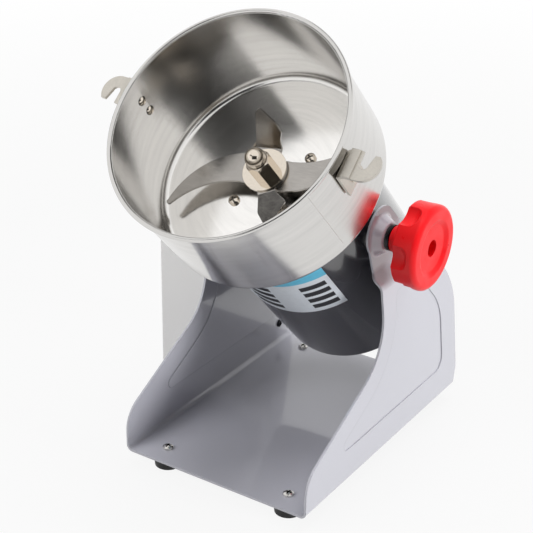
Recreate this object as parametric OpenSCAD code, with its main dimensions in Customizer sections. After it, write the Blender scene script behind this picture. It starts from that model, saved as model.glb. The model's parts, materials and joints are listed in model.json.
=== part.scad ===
// Swing mill for coffee and grain: a bowl and motor head that tilts between the ears of a folded sheet stand.

/* [Stand] */
// Width over the two side panels
stand_w = 190; // [186:1:198]
// Depth of the tray from its front edge to its rear edge
tray_depth = 270; // [262:1:290]
// Thickness of the folded sheet
sheet_t = 2; // [1.6:0.1:2.2]
// Outer bend radius of the sheet
bend_r = 6; // [4:0.5:8]
// Height of the tilt pivot above the underside of the tray
pivot_rise = 211.7; // [208:0.1:220]
// Distance of the tilt pivot behind the front edge of the tray
pivot_set = 128.7; // [124:0.1:134]
// Inward step of the ears
ear_inset = 12; // [10:0.5:12.5]
// Radius of the ears
ear_r = 22.6; // [21:0.2:25]
// Height of the round boss pressed out of each ear
press_h = 9; // [6:0.5:10]
// Height of the straight front edge of a panel
front_edge_h = 37; // [30:0.5:42]
// Rise of the sloping front edge, in degrees
front_slope = 27.6; // [24:0.2:30]
// Depth of the pressed field in each panel
field_d = 0.8; // [0.5:0.1:1.2]
// Width of the flat border in front of the pressed field
field_border = 22; // [19:1:26]
// Height of the rubber feet below the tray
foot_h = 14; // [11:0.5:16]
// Radius of a rubber foot at its top
foot_r = 13.6; // [11:0.2:15]
// Sideways distance between the feet
foot_gap_x = 129; // [110:1:135]
// Set-back of the front feet and of the rear feet from the tray's edges
foot_set = 21; // [19:0.5:28]

/* [Bowl] */
// Forward tilt of the head at rest, in degrees
head_tilt = 43.4; // [30:0.2:60]
// Inner radius of the bowl
bowl_r = 100; // [97:0.5:102]
// Inner depth of the bowl
bowl_depth = 100; // [95:0.5:104]
// Wall of the bowl
bowl_t = 1.2; // [1:0.1:1.5]
// Radius of the rolled bead round the rim
bead_r = 2; // [1.6:0.1:2.4]
// Inner radius of the corner between wall and floor
bowl_corner = 6; // [4:0.5:10]
// Height of the rim above the tilt pivot, along the bowl's axis
rim_rise = 160.6; // [158:0.1:166]
// Radius of the circle of floor screws
floor_screw_pcr = 36.7; // [34:0.1:40]

/* [Latch hooks] */
// Thickness of the hook plate
hook_t = 2.5; // [2:0.1:3]
// Depth of the hook plate below the rim
hook_drop = 12.5; // [11:0.5:15]
// Reach of a hook beyond the bowl's rim
hook_reach = 30.6; // [28.6:0.2:33.6]
// Width of the slot in a hook
hook_slot = 8; // [6.5:0.5:9]

/* [Blades] */
// Height of the main blade above the bowl's floor
blade_lift = 12.5; // [12:0.5:16]
// Thickness of the blades
blade_t = 2; // [1.5:0.1:2.5]
// Radius to the tips of the main blade
blade_reach = 89; // [84:0.5:93]
// Length of the bent part of the upturned cross blade arm
cross_arm = 41; // [36:0.5:44]
// Length of the bent part of the other cross blade arm
cross_low_arm = 31; // [28:0.5:34]
// Upward bend of one cross blade arm, in degrees
cross_up = 68; // [55:1:75]
// Downward bend of the other cross blade arm, in degrees
cross_down = 16; // [10:1:17]

/* [Motor] */
// Outer radius of the motor housing
motor_r = 76.4; // [74:0.2:77]
// Wall of the motor housing
motor_t = 1.2; // [1:0.1:1.6]
// Distance from the tilt pivot down to the housing's lower end
motor_drop = 155.1; // [153:0.1:165]
// Outer radius of the stator
stator_r = 58; // [55:0.5:59]
// Length of the stator's stack
stator_len = 72; // [66:0.5:76]
// Radius of the armature core
armature_r = 34.5; // [32:0.1:36]
// Radius of the motor shaft
shaft_r = 7.5; // [7:0.1:8]
// Outer radius of a bearing
bearing_r = 17.5; // [16:0.1:18.5]
// Width of a bearing
bearing_w = 11; // [9:0.5:12]
// Radius of the thread under the cap nut
thread_r = 6; // [5:0.1:6.4]

/* [Clamp knob] */
// Radius of the clamp knob
knob_r = 37; // [34:0.5:40]
// Distance of the knob's front face from the stand's middle
knob_face = 134; // [130:0.5:135]
// Depth of the knob's grip
knob_grip = 22; // [20:0.5:26]
// Number of finger scoops round the knob
scoop_count = 6; // [5:1:7]
// Width of a finger scoop
scoop_w = 20.5; // [16:0.5:24]
// Depth of a finger scoop
scoop_depth = 5; // [3:0.5:6]
// Length of a finger scoop from the back of the grip
scoop_len = 15.5; // [12:0.5:17]
// Radius of the blind hole in the knob's face
knob_hole_r = 7.25; // [5:0.25:9]
// Depth of the blind hole in the knob's face
knob_hole_d = 14; // [8:0.5:16]
// Radius of the clamp stud
stud_r = 5; // [4:0.1:6]

/* [Control box] */
// Distance of the box's outer face from the stand's middle
box_face = 146.6; // [143:0.2:152]
// Set-back of the box's front face behind the front edge of the tray
box_front = 122.5; // [122:0.5:126]
// Set-back of the box's rear face behind the front edge of the tray
box_rear = 255; // [250:0.5:257]
// Height of the box's top above the underside of the tray
box_top = 165; // [160:0.5:168]
// Height of the box's lower edge above the underside of the tray
box_foot = 14; // [12:0.5:18]
// Sheet thickness of the box
box_t = 1.2; // [1:0.1:1.6]
// Radius of the hole through the cord gland
gland_r = 4; // [3:0.1:4.5]

/* [Hidden] */
$fn = 64;

// Clearances
run_gap = 0.05;
fit_gap = 0.1;
seat_gap = 0.3;
eps = 0.01;
arc_step = 6;

// Colours
paint_grey = [0.66, 0.67, 0.7];
box_grey = [0.82, 0.82, 0.82];
steel = [0.78, 0.78, 0.77];
charcoal = [0.2, 0.2, 0.22];
black = [0.06, 0.06, 0.06];
red = [0.88, 0.1, 0.12];
copper = [0.75, 0.42, 0.22];
brass = [0.8, 0.65, 0.3];
iron = [0.42, 0.42, 0.44];
alloy = [0.7, 0.71, 0.72];

// Fastener sizes
m5_r = 2.5;
m5_head_r = 4.8;
m5_head_h = 3.4;
m5_nut_af = 8;
m5_nut_h = 4;
m4_r = 2;
m4_head_r = 3.8;
m4_head_h = 2.6;
m4_nut_af = 7;
m4_nut_h = 3.2;
cross_slot = 1.4;
cross_depth = 1.8;
cross_reach = 0.62;
pan_dome = 1.6;

// Panel outline, from the tray's front edge and the underside of the tray
ear_back = 0.8;
ear_up = 2.5;
ear_start = 220;
edge_lean = 10.8;
rear_slope = 45.2;
front_corner_r = 28;
throat_r = 52;
neck_r = 4;
neck_in = 9.4;
neck_drop = 32;
front_out = 15.2;
front_drop = 37;
rear_r = 98;
rear_bulge = 3.5;
rear_bulge_h = 22;
rear_heel_r = 8;
joggle_drop = 42.7;
joggle_run = 11;
joggle_r = 9;
field_rear = 27;
field_low = 34;
field_top_gap = 12;
field_corner_r = 6;
field_throat_r = 75;
field_heel_r = 12;
joggle_low = pivot_rise - joggle_drop;
joggle_high = joggle_low + joggle_run;
field_high = joggle_low - field_top_gap;
ear_c = [pivot_set + ear_back, pivot_rise + ear_up];
neck_top = [pivot_set - neck_in, pivot_rise - neck_drop];
neck_low = [pivot_set - front_out, pivot_rise - front_drop];

// Straight edges of a panel, each as a normal and its distance from the origin
slope_n = [-sin(front_slope), cos(front_slope)];
slope_k = front_edge_h * cos(front_slope);
front_n = [-cos(edge_lean), -sin(edge_lean)];
front_k = neck_low * front_n;
rear_n = [sin(rear_slope), cos(rear_slope)];
rear_k = ear_c * rear_n + ear_r;
back_n = [cos(edge_lean), sin(edge_lean)];
back_k = [tray_depth + rear_bulge, rear_bulge_h] * back_n;

// Faces along X
panel_out = stand_w / 2;
panel_in = panel_out - sheet_t;
ear_out = panel_out - ear_inset;
ear_in = ear_out - sheet_t;

// Heights on the head, from the tilt pivot along the bowl's axis
floor_z = rim_rise - bowl_depth;
base_z = floor_z - bowl_t;
can_in = motor_r - motor_t;
bracket_t = 10;
bracket_floor = 1;
bracket_r = can_in - seat_gap;
stator_drop = 45;
stator_top = base_z - stator_drop;
stator_low = stator_top - stator_len;
plate_drop = 55;
plate_top = stator_low - plate_drop;
plate_t = 8;
skirt_t = 3.5;
skirt_grip = 12;
skirt_lap = 2;
bolt_pcr = 66.5;
bearing_wall = 5;
boss_r = bearing_r + bearing_wall;
seal_r = 13;
seal_h = 7;
seal_lip = 1;
seal_wall = 2.5;
seal_bore = 1.5;
upper_bearing_drop = 14;
upper_bearing_top = base_z - upper_bearing_drop;
bearing_stop = 2;
lower_bearing_drop = 3;
lower_bearing_top = plate_top - lower_bearing_drop;
shaft_pass = 1;
fan_gap = 3;
fan_top = lower_bearing_top - bearing_w - fan_gap;
fan_h = 17;
fan_r = 62;
can_edge = 5;
can_lip = 7;
can_flange = 15;
cover_recess = 2;
cover_t = 1.5;
cover_low = -motor_drop + cover_recess - cover_t;
cover_screw_pcr = motor_r - (can_flange + can_lip) / 2;
shaft_tail = 2;
shaft_low = fan_top - fan_h - shaft_tail;
shoulder_rise = 3;
shoulder_z = floor_z + shoulder_rise;
blade_z = floor_z + blade_lift;
cross_z = blade_z + blade_t;
washer_z = cross_z + blade_t;
washer_t = 2;
washer_r = 19.5;
jam_z = washer_z + washer_t;
jam_h = 7;
nut_z = jam_z + jam_h;
nut_af = 19;
nut_hex_h = 10;
nut_dome_r = 8.8;
nut_h = 22;
nut_bore_end = 4;
nut_crown = 1;
thread_end = 2;
commutator_r = 17;
commutator_len = 22;
commutator_drop = 26;
commutator_top = stator_low - commutator_drop;
brush_z = commutator_top - commutator_len / 2;

// Pivot pieces along X, on the boss pressed out of each ear
press_r = 18.5;
press_top_r = 13;
press_fillet = 4;
press_edge = 3;
seat_in = ear_in + press_h;
seat_out = ear_out + press_h;
boss_gap_face = seat_in - seat_gap;
pivot_boss_r = 15;
boss_nose_r = 10;
boss_saddle = 8;
bush_wall = 2.5;
bush_r = stud_r + bush_wall;
bush_flange_r = 11;
bush_flange_t = 1.5;
bush_face = seat_out + bush_flange_t;
clamp_washer_t = 2;
clamp_washer_r = 11.5;
washer_in = bush_face + seat_gap;
knob_in = washer_in + clamp_washer_t + seat_gap;
knob_back = knob_face - knob_grip;
insert_r = 8;
insert_len = 18;
stud_end_gap = 2;
stud_tip = knob_in + insert_len - stud_end_gap;

// Overall frame: the origin lies under the middle of the bounding box, on the surface that the feet stand on
bead_offset = 2.4;
bead_ring = bowl_r + bead_offset;
rim_out = bead_ring + bead_r;
hook_out = rim_out + hook_reach;
rim_front = pivot_set - (rim_rise - bead_r) * sin(head_tilt) - bead_ring * cos(head_tilt) - bead_r;
motor_back = (motor_drop - can_edge) * sin(head_tilt) + (motor_r - can_edge) * cos(head_tilt) + can_edge;
motor_rear = pivot_set + motor_back;
frame_rear = max(motor_rear, tray_depth + rear_bulge);
protector_neck = 3;
button_out = 4;
origin_y = (rim_front + frame_rear) / 2;
origin_x = (hook_out - box_face - protector_neck - button_out) / 2;

function unit(v) = v / norm(v);

// Points of an arc round c from angle a by sweep d
function arc_points(c, r, a, d) =
    let (steps = max(1, ceil(abs(d) / arc_step)))
    [for (i = [0 : steps]) c + r * [cos(a + d * i / steps), sin(a + d * i / steps)]];

// Turn from angle a to angle b by the shorter way
function short_turn(a, b) = (b - a + 540) % 360 - 180;

// One corner of an outline, rounded by its third value
function corner_points(before, at, after) =
    let (
        p = [at[0], at[1]],
        to_before = unit([before[0], before[1]] - p),
        to_after = unit([after[0], after[1]] - p),
        half = acos(to_before * to_after) / 2,
        c = p + unit(to_before + to_after) * at[2] / sin(half),
        start = p + to_before * at[2] / tan(half) - c,
        finish = p + to_after * at[2] / tan(half) - c,
        a = atan2(start[1], start[0])
    )
    at[2] > 0 ? arc_points(c, at[2], a, short_turn(a, atan2(finish[1], finish[0]))) : [p];

// Closed outline of corners [x, y, radius]
function rounded(corners) = [
    for (i = [0 : len(corners) - 1])
        each corner_points(
            corners[(i + len(corners) - 1) % len(corners)], corners[i], corners[(i + 1) % len(corners)]
        )
];

// Crossing of two lines given by their normals and distances
function crossing(n1, k1, n2, k2) =
    [k1 * n2[1] - k2 * n1[1], n1[0] * k2 - n2[0] * k1] / (n1[0] * n2[1] - n1[1] * n2[0]);

// Depth at height z, and height at depth y, on such a line
function line_y(n, k, z) = (k - z * n[1]) / n[0];
function line_z(n, k, y) = (k - y * n[0]) / n[1];

// Outline of a side panel in depth and height
function panel_corners() =
    let (
        throat = crossing(slope_n, slope_k, front_n, front_k),
        rear = crossing(rear_n, rear_k, back_n, back_k)
    )
    [
        [0, 0, 0],
        [0, front_edge_h, front_corner_r],
        [throat[0], throat[1], throat_r],
        [neck_low[0], neck_low[1], neck_r],
        [neck_top[0], neck_top[1], neck_r],
        for (p = arc_points(ear_c, ear_r, ear_start, 90 - rear_slope - ear_start)) [p[0], p[1], 0],
        [rear[0], rear[1], rear_r],
        [tray_depth + rear_bulge, rear_bulge_h, rear_heel_r],
        [tray_depth, 0, 0]
    ];

// Outline of the pressed field, following the panel's edges at the widths of its flat borders
function field_corners() =
    let (
        throat = crossing(slope_n, slope_k - field_border, front_n, front_k - field_border),
        rear = crossing(rear_n, rear_k - field_rear, back_n, back_k - field_rear)
    )
    [
        [line_y(slope_n, slope_k - field_border, field_low), field_low, field_corner_r],
        [throat[0], throat[1], field_throat_r],
        [line_y(front_n, front_k - field_border, field_high), field_high, field_corner_r],
        [line_y(rear_n, rear_k - field_rear, field_high), field_high, field_corner_r],
        [rear[0], rear[1], rear_r - field_rear],
        [line_y(back_n, back_k - field_rear, field_low), field_low, field_heel_r]
    ];

// Half of the folded section: tray, bend, panel and the inward step to the ear
function section_corners() =
    let (
        ramp = atan2(ear_inset, joggle_high - joggle_low),
        shift = sheet_t * tan(ramp / 2),
        high = pivot_rise + ear_up + ear_r + 1,
        inner_r = bend_r - sheet_t
    )
    [
        [-1, 0, 0],
        [panel_out, 0, bend_r],
        [panel_out, joggle_low, joggle_r],
        [ear_out, joggle_high, joggle_r - sheet_t],
        [ear_out, high, 0],
        [ear_in, high, 0],
        [ear_in, joggle_high - shift, joggle_r],
        [panel_in, joggle_low - shift, joggle_r - sheet_t],
        [panel_in, sheet_t, inner_r],
        [-1, sheet_t, 0]
    ];

// Stand coordinates: X from the middle, Y from the tray's front edge, Z from the underside of the tray
module on_stand() {
    translate([-origin_x, -origin_y, foot_h]) children();
}

// Head coordinates: the origin on the tilt pivot and Z along the bowl's axis
module on_head() {
    on_stand() translate([0, pivot_set, pivot_rise]) rotate([head_tilt, 0, 0]) children();
}

// Coordinates along the pivot's axis, Z pointing to the right
module on_pivot() {
    on_stand() translate([0, pivot_set, pivot_rise]) rotate([0, 90, 0]) children();
}

// Draws a depth and height outline as a plate from x0 to x1
module side_plate(x0, x1) {
    translate([x0, 0, 0]) rotate([90, 0, 90]) linear_extrude(x1 - x0) children();
}

module tube(r_out, r_in, h) {
    difference() {
        cylinder(r = r_out, h = h);
        translate([0, 0, -1]) cylinder(r = r_in, h = h + 2);
    }
}

// Pan head screw, head upward on Z = 0, with a cross recess
module pan_screw(r, head_r, head_h, len) {
    translate([0, 0, -len]) cylinder(r = r, h = len + eps);
    difference() {
        rotate_extrude() intersection() {
            square([head_r, head_h]);
            translate([0, head_h - head_r * pan_dome]) circle(r = head_r * pan_dome);
        }
        for (a = [0, 90])
            rotate(a) translate([-head_r * cross_reach, -cross_slot / 2, head_h - cross_depth])
                cube([2 * head_r * cross_reach, cross_slot, cross_depth + 1]);
    }
}

module hex_nut(af, bore_r, h) {
    difference() {
        cylinder(r = af / 2 / cos(30), h = h, $fn = 6);
        translate([0, 0, -1]) cylinder(r = bore_r, h = h + 2);
    }
}

// Copies at the four feet
module at_feet() {
    for (x = [-foot_gap_x / 2, foot_gap_x / 2], y = [foot_set, tray_depth - foot_set])
        translate([x, y, 0]) children();
}

// Copies at the fixing places of the control box, head side on the inside of the left panel
tab_inset = 8;
tab_edge = 18;
tab_slope_set = 34;
box_tab_points = [
    [box_rear - tab_inset, box_foot + tab_inset],
    [box_rear - tab_slope_set, line_z(rear_n, rear_k - tab_edge, box_rear - tab_slope_set)],
    [box_front + tab_inset, box_top - tab_inset]
];
module at_box_tabs(x) {
    for (p = box_tab_points)
        translate([x, p[0], p[1]]) rotate([0, 90, 0]) children();
}

grommet_back = 70;
grommet_drop = 100;
grommet_place = [pivot_set + grommet_back, pivot_rise - grommet_drop];
grommet_hole_r = 9;

// Stand pieces

module pressed_field_2d() {
    polygon(rounded(field_corners()));
}

// Round boss of an ear as a solid disc, its foot on Z = 0
module ear_press() {
    rotate_extrude() polygon(rounded([
        [0, -sheet_t / 2, 0],
        [press_r + press_fillet, -sheet_t / 2, 0],
        [press_r + press_fillet, 0, 0],
        [press_r, 0, press_fillet],
        [press_top_r, press_h, press_edge],
        [0, press_h, 0]
    ]));
}

// Copies at the two ears, Z outward along the pivot and Z = 0 at x
module at_ears(x) {
    for (side = [0, 1])
        mirror([side, 0, 0]) translate([x, pivot_set, pivot_rise]) rotate([0, 90, 0]) children();
}

module stand_frame() {
    color(paint_grey) on_stand() difference() {
        union() {
            intersection() {
                union() {
                    rotate([90, 0, 0]) translate([0, 0, -2 * tray_depth]) linear_extrude(3 * tray_depth) {
                        polygon(rounded(section_corners()));
                        mirror([1, 0]) polygon(rounded(section_corners()));
                    }
                    at_ears(ear_out) ear_press();
                }
                side_plate(-stand_w, stand_w) polygon(rounded(panel_corners()));
            }
            for (side = [0, 1])
                mirror([side, 0, 0]) side_plate(panel_in - field_d, panel_in + eps) pressed_field_2d();
        }
        for (side = [0, 1])
            mirror([side, 0, 0]) side_plate(panel_out - field_d, panel_out + 1) pressed_field_2d();
        at_ears(ear_in) ear_press();
        at_ears(0) cylinder(r = bush_r + run_gap, h = stand_w);
        at_feet() translate([0, 0, -1]) cylinder(r = m5_r + fit_gap, h = sheet_t + 2);
        translate([-stand_w, grommet_place[0], grommet_place[1]]) rotate([0, 90, 0])
            cylinder(r = grommet_hole_r, h = stand_w);
        at_box_tabs(-stand_w) cylinder(r = m4_r + fit_gap, h = stand_w);
    }
}

foot_taper = 1.5;
foot_nut_lift = 3;
foot_pocket_gap = 1;

module rubber_feet() {
    pocket_r = m5_nut_af / 2 / cos(30) + foot_pocket_gap;
    color(black) on_stand() at_feet() translate([0, 0, -foot_h]) difference() {
        cylinder(r1 = foot_r - foot_taper, r2 = foot_r, h = foot_h);
        translate([0, 0, -1]) cylinder(r = m5_r + fit_gap, h = foot_h + 2);
        translate([0, 0, -1]) cylinder(r = pocket_r, h = 1 + foot_nut_lift + m5_nut_h + fit_gap);
    }
}

module foot_screws() {
    color(steel) on_stand() at_feet() translate([0, 0, sheet_t])
        pan_screw(m5_r, m5_head_r, m5_head_h, sheet_t + foot_h - foot_nut_lift);
}

module foot_nuts() {
    color(steel) on_stand() at_feet() translate([0, 0, foot_nut_lift - foot_h])
        hex_nut(m5_nut_af, m5_r + run_gap, m5_nut_h);
}

// Flanged nylon bush in the hole of an ear's boss, flange outside
module pivot_bush() {
    difference() {
        union() {
            translate([0, 0, seat_in]) cylinder(r = bush_r, h = sheet_t);
            translate([0, 0, seat_out]) cylinder(r = bush_flange_r, h = bush_flange_t);
        }
        translate([0, 0, seat_in - 1]) cylinder(r = stud_r + run_gap, h = sheet_t + bush_flange_t + 2);
    }
}

module pivot_bush_right() {
    color(black) on_pivot() pivot_bush();
}

module pivot_bush_left() {
    color(black) on_pivot() mirror([0, 0, 1]) pivot_bush();
}

grommet_lip = 2.5;
grommet_lip_t = 2;
grommet_wall = 3;

// Grooved rubber ring in the left panel, for the motor's lead
module cable_grommet() {
    face_out = panel_out - field_d;
    face_in = face_out - sheet_t;
    lip_r = grommet_hole_r + grommet_lip;
    color(black) on_stand() translate([0, grommet_place[0], grommet_place[1]]) rotate([0, -90, 0]) difference() {
        union() {
            translate([0, 0, face_in - grommet_lip_t]) cylinder(r = lip_r, h = grommet_lip_t);
            translate([0, 0, face_in - eps]) cylinder(r = grommet_hole_r - run_gap, h = sheet_t + 2 * eps);
            translate([0, 0, face_out]) cylinder(r = lip_r, h = grommet_lip_t);
        }
        translate([0, 0, face_in - grommet_lip_t - 1])
            cylinder(r = grommet_hole_r - grommet_wall, h = sheet_t + 2 * grommet_lip_t + 2);
    }
}

// Control box pieces

box_slope_top = 55;
box_slope_rear = 65;
box_edge_r = 8;
box_edge_min = 1;
box_slope = atan2(box_slope_rear, box_slope_top);

// Outline of the box in depth and height, drawn in by d
function box_corners(d) =
    let (r = max(box_edge_r - d, box_edge_min))
    [
        [box_front + d, box_foot + d, r],
        [box_front + d, box_top - d, r],
        [box_rear - box_slope_top - d * tan(box_slope / 2), box_top - d, r],
        [box_rear - d, box_top - box_slope_rear - d * tan(45 - box_slope / 2), r],
        [box_rear - d, box_foot + d, r]
    ];

controls_set = 45;
switch_place = [box_front + controls_set, box_top - controls_set];
switch_w = 21;
switch_l = 30;
protector_rise = 40;
protector_place = [box_front + controls_set, box_foot + protector_rise];
protector_r = 5.5;
gland_rise = 35;
gland_place = [-(panel_out + box_face) / 2, box_foot + gland_rise];
gland_thread = 2.5;
gland_thread_r = gland_r + gland_thread;
tab_r = 10;

module control_box() {
    hole_w = switch_w + 2 * fit_gap;
    hole_l = switch_l + 2 * fit_gap;
    color(box_grey) on_stand() difference() {
        union() {
            difference() {
                side_plate(-box_face, -panel_out) polygon(rounded(box_corners(0)));
                side_plate(-box_face + box_t, -panel_out + 1) polygon(rounded(box_corners(box_t)));
            }
            intersection() {
                side_plate(-panel_out - box_t, -panel_out) polygon(rounded(box_corners(0)));
                at_box_tabs(-panel_out - box_t) cylinder(r = tab_r, h = box_t);
            }
        }
        at_box_tabs(-box_face + box_t + eps) cylinder(r = m4_r + fit_gap, h = box_face);
        translate([-box_face - 1, switch_place[0] - hole_w / 2, switch_place[1] - hole_l / 2])
            cube([box_t + 2, hole_w, hole_l]);
        translate([-box_face - 1, protector_place[0], protector_place[1]]) rotate([0, 90, 0])
            cylinder(r = protector_r + fit_gap, h = box_t + 2);
        translate([gland_place[0], box_rear - box_t - 1, gland_place[1]]) rotate([-90, 0, 0])
            cylinder(r = gland_thread_r + fit_gap, h = box_t + 2);
    }
}

screw_end = 1;

module box_screws() {
    color(black) on_stand() at_box_tabs(-panel_in)
        pan_screw(m4_r, m4_head_r, m4_head_h, sheet_t + box_t + m4_nut_h + screw_end);
}

module box_nuts() {
    color(steel) on_stand() at_box_tabs(-panel_out - box_t - m4_nut_h)
        hex_nut(m4_nut_af, m4_r + run_gap, m4_nut_h);
}

bezel_t = 2;
bezel_lip = 2.5;
switch_depth = 22;
switch_wall = 2;
rocker_throw = 8;
rocker_deep = 4;
rocker_high = 5.5;
rocker_dip = 1.5;
rocker_pin_r = 1.5;
rocker_set = 3;
rocker_end_gap = 1;
rocker_edge = 1;
rocker_hollow_r = 20;
rocker_pin_set = 0.5;

// Coordinates on the box's outer face, Z outward and Y upward
module on_box_face(place) {
    on_stand() translate([-box_face, place[0], place[1]]) rotate([90, 0, -90]) children();
}

module switch_housing() {
    color(black) on_box_face(switch_place) difference() {
        union() {
            translate([-switch_w / 2 - bezel_lip, -switch_l / 2 - bezel_lip, 0])
                cube([switch_w + 2 * bezel_lip, switch_l + 2 * bezel_lip, bezel_t]);
            translate([-switch_w / 2, -switch_l / 2, -switch_depth])
                cube([switch_w, switch_l, switch_depth + eps]);
        }
        translate([-switch_w / 2 + switch_wall, -switch_l / 2 + switch_wall, -switch_depth + switch_wall])
            cube([switch_w - 2 * switch_wall, switch_l - 2 * switch_wall, switch_depth + bezel_t]);
        translate([-switch_w, 0, -rocker_set]) rotate([0, 90, 0])
            cylinder(r = rocker_pin_r + run_gap, h = 2 * switch_w);
    }
}

module switch_rocker() {
    key_w = switch_w - 2 * switch_wall - 2 * seat_gap;
    key_l = switch_l - 2 * switch_wall - 2 * rocker_end_gap;
    color(red) on_box_face(switch_place) translate([0, 0, -rocker_set]) rotate([rocker_throw, 0, 0]) {
        translate([-key_w / 2, 0, 0]) rotate([0, 90, 0]) rotate([0, 0, 90]) linear_extrude(key_w) polygon(rounded([
            [-key_l / 2, -rocker_deep, 0], [key_l / 2, -rocker_deep, 0],
            [key_l / 2, rocker_high, rocker_edge],
            [0, rocker_high - rocker_dip, rocker_hollow_r],
            [-key_l / 2, rocker_high, rocker_edge]
        ]));
        translate([rocker_pin_set - switch_w / 2, 0, 0]) rotate([0, 90, 0])
            cylinder(r = rocker_pin_r, h = switch_w - 2 * rocker_pin_set);
    }
}

protector_nut_af = 14;
protector_nut_h = 2.5;
protector_w = 18;
protector_l = 24;
protector_len = 24;
protector_step = 6;
button_r = 3.4;
button_travel = 2;
button_foot = 1.5;
button_edge = 1;

module overload_protector() {
    shoulder = -box_t - protector_step;
    color(black) on_box_face(protector_place) difference() {
        union() {
            translate([0, 0, shoulder]) cylinder(r = protector_r, h = protector_neck - shoulder);
            translate([-protector_w / 2, -protector_l / 2, shoulder - protector_len])
                cube([protector_w, protector_l, protector_len + eps]);
        }
        translate([0, 0, shoulder]) cylinder(r = button_r + run_gap, h = protector_neck - shoulder + 1);
    }
}

module protector_nut() {
    color(steel) on_box_face(protector_place) hex_nut(protector_nut_af, protector_r + run_gap, protector_nut_h);
}

module reset_button() {
    low = -button_travel - button_foot;
    high = protector_neck + button_out;
    color(red) on_box_face(protector_place) rotate_extrude()
        polygon(rounded([[0, low, 0], [button_r, low, 0], [button_r, high, button_edge], [0, high, 0]]));
}

// Coordinates on the box's rear face, Z pointing to the rear
module on_box_rear() {
    on_stand() translate([gland_place[0], box_rear, gland_place[1]]) rotate([-90, 0, 0]) children();
}

gland_nut_h = 5;
gland_nut_wall = 2.5;
gland_end = 1;
gland_flange = 4;
gland_flange_h = 6;
gland_tail = 10;
gland_tail_wall = 2;

module cord_gland() {
    low = -box_t - gland_nut_h - gland_end;
    high = gland_flange_h + gland_tail;
    root_r = gland_thread_r + gland_flange / 2;
    color(black) on_box_rear() difference() {
        union() {
            translate([0, 0, low]) cylinder(r = gland_thread_r, h = eps - low);
            cylinder(r = gland_thread_r + gland_flange, h = gland_flange_h, $fn = 6);
            translate([0, 0, gland_flange_h - eps])
                cylinder(r1 = root_r, r2 = gland_r + gland_tail_wall, h = gland_tail + eps);
        }
        translate([0, 0, low - 1]) cylinder(r = gland_r, h = high - low + 2);
    }
}

module gland_nut() {
    color(black) on_box_rear() translate([0, 0, -box_t - gland_nut_h])
        hex_nut(2 * gland_thread_r + 2 * gland_nut_wall, gland_thread_r + run_gap, gland_nut_h);
}

terminal_count = 3;
terminal_pitch = 10;
terminal_w = 20;
terminal_h = 14;
terminal_hole_r = 2.5;
terminal_floor = 6;
terminal_gap = 6;

// Three-way terminal strip on the outer side of the panel, inside the box, behind the protector
module terminal_block() {
    long = terminal_count * terminal_pitch;
    face = panel_out - field_d;
    place_y = protector_place[0] + protector_w / 2 + terminal_gap + long / 2;
    color(alloy) on_stand() translate([-face, place_y, protector_place[1]]) rotate([0, -90, 0]) difference() {
        translate([-terminal_w / 2, -long / 2, 0]) cube([terminal_w, long, terminal_h]);
        for (i = [0 : terminal_count - 1], side = [-1, 1])
            translate([side * terminal_w / 4, (i + 0.5) * terminal_pitch - long / 2, terminal_floor])
                cylinder(r = terminal_hole_r, h = terminal_h);
    }
}

// Bowl pieces

bowl_hole_gap = 3;
bowl_hole_r = shaft_r + bowl_hole_gap;
screw_turn = 46.5;

module at_floor_screws() {
    for (i = [0 : 3])
        rotate(screw_turn + 90 * i) translate([floor_screw_pcr, 0, 0]) children();
}

hook_turns = [0, 177.4];
hook_base = 24.5;
hook_low_y = -16.8;
hook_leg = 10;
hook_flare = 3;
hook_tip_r = 1.5;
hook_wall_gap = 2.6;
hook_wall_x = rim_out + hook_wall_gap;
strip_w = 8;
strip_h = 1.2;
rivet_r = 2.4;
rivet_head_r = 4.2;
rivet_head_h = 2.2;
rivet_tail = 1.4;
rivet_drops = [23, 38];
rivet_y = hook_low_y + hook_base / 2;
rivet_seat = sqrt(bowl_r * bowl_r - pow(abs(rivet_y) + rivet_head_r, 2)) - fit_gap;

// Copies at the rivets of both hooks, Z outward and Z = 0 at the distance x from the bowl's axis
module at_rivets(turns, x) {
    for (turn = turns, drop = rivet_drops)
        rotate(turn) translate([x, rivet_y, rim_rise - drop]) rotate([0, 90, 0]) children();
}

module bowl() {
    outer_corner = bowl_corner + bowl_t;
    section = rounded([
        [bowl_hole_r, base_z, 0],
        [bowl_r + bowl_t, base_z, outer_corner],
        [bowl_r + bowl_t, rim_rise - bead_r, 0],
        [bowl_r, rim_rise - bead_r, 0],
        [bowl_r, floor_z, bowl_corner],
        [bowl_hole_r, floor_z, 0]
    ]);
    color(steel) on_head() difference() {
        rotate_extrude($fn = 128) union() {
            polygon(section);
            translate([bead_ring, rim_rise - bead_r]) circle(r = bead_r);
            translate([bowl_r, rim_rise - 2 * bead_r]) square([bead_offset, bead_r]);
        }
        translate([0, 0, base_z - 1]) at_floor_screws() cylinder(r = m5_r + fit_gap, h = bowl_t + 2);
        at_rivets(hook_turns, rivet_seat - 1)
            cylinder(r = rivet_r + fit_gap, h = bowl_r + bowl_t - rivet_seat + 2);
    }
}

// Hook plate seen along the bowl's axis: a strip beside the wall and a prong round a slot open along the rim
module hook_plate_2d() {
    slot_x = hook_wall_x + hook_leg + hook_slot / 2;
    slot_y = hook_low_y + hook_out - slot_x;
    top_y = hook_low_y + hook_base;
    difference() {
        union() {
            translate([hook_wall_x, hook_low_y]) square([slot_x - hook_wall_x, hook_base]);
            intersection() {
                translate([slot_x, slot_y]) circle(r = hook_out - slot_x);
                translate([slot_x - eps, hook_low_y]) square([hook_out, hook_base - hook_tip_r]);
            }
        }
        translate([slot_x, slot_y]) circle(r = hook_slot / 2);
        polygon([
            [slot_x - hook_slot / 2, slot_y],
            [slot_x + hook_slot / 2, slot_y],
            [slot_x + hook_slot / 2 + hook_flare, top_y + eps],
            [slot_x - hook_slot / 2, top_y + eps]
        ]);
    }
}

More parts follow.
